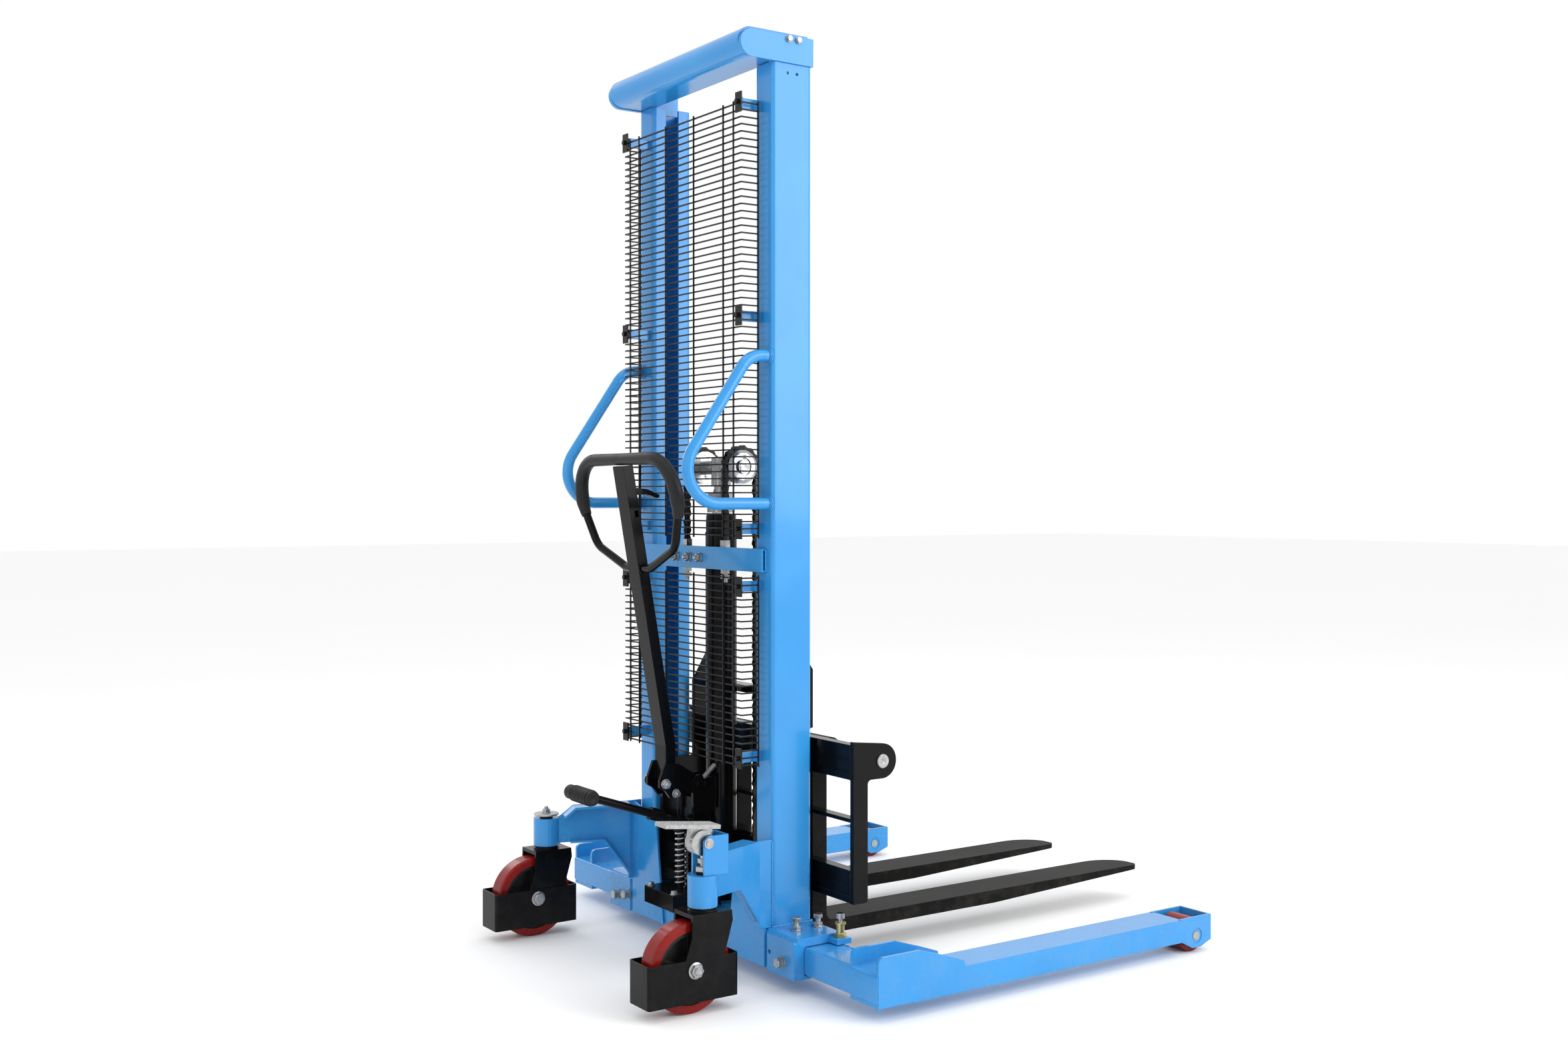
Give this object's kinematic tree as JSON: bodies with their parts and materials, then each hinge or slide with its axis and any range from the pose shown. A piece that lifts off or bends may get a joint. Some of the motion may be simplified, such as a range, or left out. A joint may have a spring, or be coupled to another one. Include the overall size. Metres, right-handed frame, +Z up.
{
  "type": "manual straddle stacker",
  "caption": "Manual hydraulic straddle stacker: braced mast with wire guard, lifting fork carriage, sliding straddle legs, pump tiller and two swivel wheels.",
  "frame": {"origin": "on the floor, in the middle of the machine's length and width, with forks and legs at rest", "axes": "+Z up, +Y the way the forks point, +X to the operator's right"},
  "size_m": [1.26, 1.525, 1.98],
  "materials": {
    "blue_enamel": "glossy powder coat",
    "black_enamel": "gloss",
    "black_wire": "satin",
    "black_iron": "satin",
    "chain_steel": "oiled",
    "zinc_steel": "bright zinc plate",
    "chromed_rod": "polished",
    "yellow_zinc": "yellow chromate zinc",
    "red_tyre": "satin cast polyurethane",
    "grip_rubber": "moulded, matt"
  },
  "bodies": {
    "chassis": {"column_left": "blue_enamel", "column_right": "blue_enamel", "crosshead": "blue_enamel", "frame_screws": "zinc_steel", "mid_crossbar": "blue_enamel", "base_beam": "blue_enamel", "arm_left": "blue_enamel", "arm_right": "blue_enamel", "handles": "blue_enamel", "guard_panels": "black_wire", "guard_clamps": "black_wire", "pump_plate": "black_enamel", "pump_body": "black_enamel", "cylinder_tube": "black_enamel", "cylinder_clamp": "black_enamel", "chain_anchors": "zinc_steel", "chains": "chain_steel", "socket_bolts": "zinc_steel", "plunger_sleeves": "yellow_zinc", "brake_bracket": "blue_enamel", "valve_spring": "zinc_steel", "pump_spring": "zinc_steel"},
    "piston": {"lift_rod": "chromed_rod", "rod_head": "zinc_steel"},
    "sheave_left": {"chain_wheel_left": "zinc_steel"},
    "sheave_right": {"chain_wheel_right": "zinc_steel"},
    "carriage": {"carriage_frame": "black_enamel", "carriage_posts": "black_enamel", "fork_shaft": "zinc_steel"},
    "roller_ul": {"roller_upper_left": "black_iron"},
    "roller_ur": {"roller_upper_right": "black_iron"},
    "roller_ll": {"roller_lower_left": "black_iron"},
    "roller_lr": {"roller_lower_right": "black_iron"},
    "fork_l": {"fork_left": "black_enamel"},
    "fork_r": {"fork_right": "black_enamel"},
    "leg_l": {"leg_left": "blue_enamel", "load_axle_left": "zinc_steel"},
    "leg_r": {"leg_right": "blue_enamel", "load_axle_right": "zinc_steel"},
    "load_wheel_l": {"load_wheel_left": "red_tyre"},
    "load_wheel_r": {"load_wheel_right": "red_tyre"},
    "swivel_l": {"caster_yoke_left": "black_enamel", "caster_axle_left": "zinc_steel"},
    "swivel_r": {"caster_yoke_right": "black_enamel", "caster_axle_right": "zinc_steel"},
    "wheel_l": {"caster_hub_left": "black_iron", "caster_tread_left": "red_tyre"},
    "wheel_r": {"caster_hub_right": "black_iron", "caster_tread_right": "red_tyre"},
    "tiller": {"tiller_arm": "black_enamel", "tiller_loop": "black_enamel", "tiller_grip": "grip_rubber"},
    "release": {"release_lever": "black_enamel"},
    "foot": {"foot_lever": "black_enamel", "foot_pad": "grip_rubber"},
    "pump_ram": {"pump_piston": "black_enamel"},
    "brake": {"brake_pedal": "zinc_steel"},
    "brake_push": {"brake_rod": "zinc_steel"},
    "index_l": {"index_pin_left": "zinc_steel"},
    "index_r": {"index_pin_right": "zinc_steel"}
  },
  "joints": [
    {"name": "carriage_lift", "type": "slide", "parent": "chassis", "child": "carriage", "axis": [0, 0, 1], "range_m": [0, 1.51]},
    {"name": "piston_lift", "type": "slide", "parent": "chassis", "child": "piston", "axis": [0, 0, 1], "range_m": [0, 0.755], "deforming": ["chains"]},
    {"name": "sheave_left_spin", "type": "hinge", "parent": "piston", "child": "sheave_left", "pos_m": [-0.08, -0.3555, 1.077], "axis": [1, 0, 0], "continuous": true},
    {"name": "sheave_right_spin", "type": "hinge", "parent": "piston", "child": "sheave_right", "pos_m": [0.08, -0.3555, 1.077], "axis": [1, 0, 0], "continuous": true},
    {"name": "roller_ul_spin", "type": "hinge", "parent": "carriage", "child": "roller_ul", "pos_m": [-0.245, -0.3555, 0.355], "axis": [1, 0, 0], "continuous": true},
    {"name": "roller_ur_spin", "type": "hinge", "parent": "carriage", "child": "roller_ur", "pos_m": [0.245, -0.3555, 0.355], "axis": [1, 0, 0], "continuous": true},
    {"name": "roller_ll_spin", "type": "hinge", "parent": "carriage", "child": "roller_ll", "pos_m": [-0.245, -0.3555, 0.165], "axis": [1, 0, 0], "continuous": true},
    {"name": "roller_lr_spin", "type": "hinge", "parent": "carriage", "child": "roller_lr", "pos_m": [0.245, -0.3555, 0.165], "axis": [1, 0, 0], "continuous": true},
    {"name": "fork_left_slide", "type": "slide", "parent": "carriage", "child": "fork_l", "axis": [-1, 0, 0], "range_m": [-0.08, 0.15]},
    {"name": "fork_right_slide", "type": "slide", "parent": "carriage", "child": "fork_r", "axis": [1, 0, 0], "range_m": [-0.08, 0.15]},
    {"name": "leg_left_slide", "type": "slide", "parent": "chassis", "child": "leg_l", "axis": [-1, 0, 0], "range_m": [-0.022, 0.11]},
    {"name": "leg_right_slide", "type": "slide", "parent": "chassis", "child": "leg_r", "axis": [1, 0, 0], "range_m": [-0.022, 0.11]},
    {"name": "load_wheel_left_spin", "type": "hinge", "parent": "leg_l", "child": "load_wheel_l", "pos_m": [-0.585, 0.4925, 0.038], "axis": [1, 0, 0], "continuous": true},
    {"name": "caster_left_swivel", "type": "hinge", "parent": "chassis", "child": "swivel_l", "pos_m": [-0.347, -0.6175, 0.23], "axis": [0, 0, 1], "continuous": true},
    {"name": "caster_left_wheel", "type": "hinge", "parent": "swivel_l", "child": "wheel_l", "pos_m": [-0.347, -0.6575, 0.09], "axis": [1, 0, 0], "continuous": true},
    {"name": "load_wheel_right_spin", "type": "hinge", "parent": "leg_r", "child": "load_wheel_r", "pos_m": [0.585, 0.4925, 0.038], "axis": [1, 0, 0], "continuous": true},
    {"name": "caster_right_swivel", "type": "hinge", "parent": "chassis", "child": "swivel_r", "pos_m": [0.347, -0.6175, 0.23], "axis": [0, 0, 1], "continuous": true},
    {"name": "caster_right_wheel", "type": "hinge", "parent": "swivel_r", "child": "wheel_r", "pos_m": [0.347, -0.6575, 0.09], "axis": [1, 0, 0], "continuous": true},
    {"name": "tiller_pump", "type": "hinge", "parent": "chassis", "child": "tiller", "pos_m": [0, -0.4355, 0.383], "axis": [1, 0, 0], "range_deg": [0, 40]},
    {"name": "pump_ram_slide", "type": "slide", "parent": "chassis", "child": "pump_ram", "axis": [0, 0, 1], "range_m": [-0.019, 0], "deforming": ["pump_spring"]},
    {"name": "release_lever_tilt", "type": "hinge", "parent": "tiller", "child": "release", "pos_m": [0, -0.59582, 1.02083], "axis": [1, 0, 0], "range_deg": [-8, 8], "stiffness_Nm_per_rad": 2},
    {"name": "foot_pump", "type": "hinge", "parent": "chassis", "child": "foot", "pos_m": [0, -0.4215, 0.282], "axis": [1, 0, 0], "range_deg": [0, 22]},
    {"name": "brake_press", "type": "hinge", "parent": "chassis", "child": "brake", "pos_m": [0.347, -0.6175, 0.33], "axis": [1, 0, 0], "range_deg": [0, 16]},
    {"name": "brake_rod_slide", "type": "slide", "parent": "chassis", "child": "brake_push", "axis": [0, 0, 1], "range_m": [-0.0019, 0]},
    {"name": "index_pin_left_pull", "type": "slide", "parent": "chassis", "child": "index_l", "axis": [0, 0, 1], "range_m": [0, 0.012], "stiffness_N_per_m": 800, "springref_m": -0.005},
    {"name": "index_pin_right_pull", "type": "slide", "parent": "chassis", "child": "index_r", "axis": [0, 0, 1], "range_m": [0, 0.012], "stiffness_N_per_m": 800, "springref_m": -0.005}
  ],
  "couplings": [
    {"joint": "piston_lift", "follows": "carriage_lift", "ratio": 0.5},
    {"joint": "sheave_left_spin", "follows": "carriage_lift", "rad_per_m": 12.5},
    {"joint": "sheave_right_spin", "follows": "carriage_lift", "rad_per_m": 12.5},
    {"joint": "roller_ul_spin", "follows": "carriage_lift", "rad_per_m": 22.989},
    {"joint": "roller_ur_spin", "follows": "carriage_lift", "rad_per_m": 22.989},
    {"joint": "roller_ll_spin", "follows": "carriage_lift", "rad_per_m": 22.989},
    {"joint": "roller_lr_spin", "follows": "carriage_lift", "rad_per_m": 22.989},
    {"joint": "pump_ram_slide", "follows": "tiller_pump", "m_per_rad": -0.027},
    {"joint": "brake_rod_slide", "follows": "brake_press", "m_per_rad": -0.0067}
  ]
}
